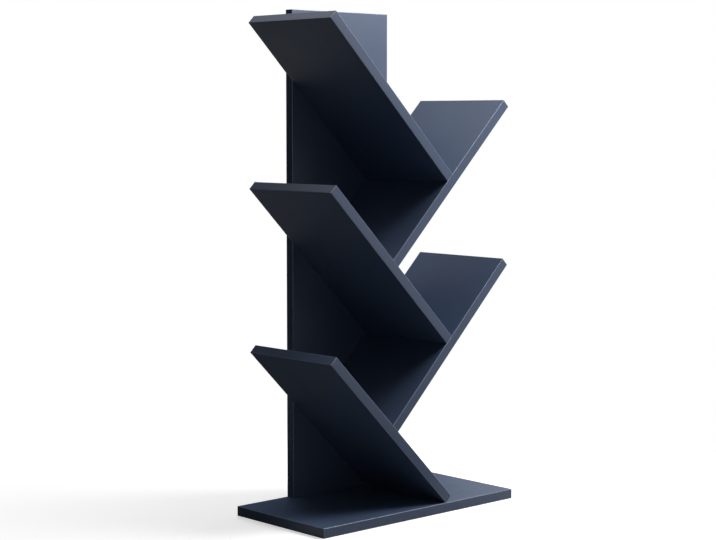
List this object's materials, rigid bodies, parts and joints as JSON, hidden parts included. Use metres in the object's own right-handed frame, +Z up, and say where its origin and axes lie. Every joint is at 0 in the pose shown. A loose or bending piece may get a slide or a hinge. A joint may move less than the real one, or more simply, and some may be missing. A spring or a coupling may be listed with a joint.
{
  "type": "tree shaped bookshelf",
  "caption": "Tree-shaped bookshelf: an upright trunk panel on a flat base, with slanting shelves that branch left and right and stand square on one another to hold leaning books.",
  "frame": {"origin": "centre of the base's underside, on the floor", "axes": "+Z up along the trunk, +X to the right as seen from the front, +Y from the shelves' front to the trunk"},
  "size_m": [0.4, 0.2, 0.7701],
  "materials": {
    "board": "satin navy melamine on particle board",
    "edge_strip": "satin navy edge strip",
    "screw": "zinc plated",
    "dowel": "raw beech",
    "cap": "satin navy"
  },
  "bodies": {
    "root": {"base_board": "board", "base_board_strip_back": "edge_strip", "base_board_strip_front": "edge_strip", "base_board_strip_left": "edge_strip", "base_board_strip_right": "edge_strip", "bottom_left_shelf": "board", "bottom_left_shelf_strip_back": "edge_strip", "bottom_left_shelf_strip_front": "edge_strip", "bottom_left_shelf_strip_lower_end": "edge_strip", "bottom_left_shelf_strip_upper_end": "edge_strip", "bottom_left_trunk_screws": "screw", "lower_right_foot_dowels": "dowel", "lower_right_foot_screws": "screw", "lower_right_shelf": "board", "lower_right_shelf_strip_back": "edge_strip", "lower_right_shelf_strip_foot": "edge_strip", "lower_right_shelf_strip_front": "edge_strip", "lower_right_shelf_strip_tip": "edge_strip", "lower_right_trunk_screws": "screw", "middle_left_end_dowels": "dowel", "middle_left_end_screws": "screw", "middle_left_shelf": "board", "middle_left_shelf_strip_back": "edge_strip", "middle_left_shelf_strip_front": "edge_strip", "middle_left_shelf_strip_lower_end": "edge_strip", "middle_left_shelf_strip_upper_end": "edge_strip", "middle_left_trunk_screws": "screw", "shelf_joint_caps": "cap", "top_left_end_dowels": "dowel", "top_left_end_screws": "screw", "top_left_shelf": "board", "top_left_shelf_strip_back": "edge_strip", "top_left_shelf_strip_front": "edge_strip", "top_left_shelf_strip_lower_end": "edge_strip", "top_left_shelf_strip_upper_end": "edge_strip", "top_left_trunk_screws": "screw", "trunk_back_caps": "cap", "trunk_foot_dowels": "dowel", "trunk_foot_screws": "screw", "trunk_panel": "board", "trunk_panel_strip_left": "edge_strip", "trunk_panel_strip_right": "edge_strip", "trunk_panel_strip_top": "edge_strip", "upper_right_foot_dowels": "dowel", "upper_right_foot_screws": "screw", "upper_right_shelf": "board", "upper_right_shelf_strip_back": "edge_strip", "upper_right_shelf_strip_foot": "edge_strip", "upper_right_shelf_strip_front": "edge_strip", "upper_right_shelf_strip_tip": "edge_strip", "upper_right_trunk_screws": "screw"}
  },
  "joints": []
}
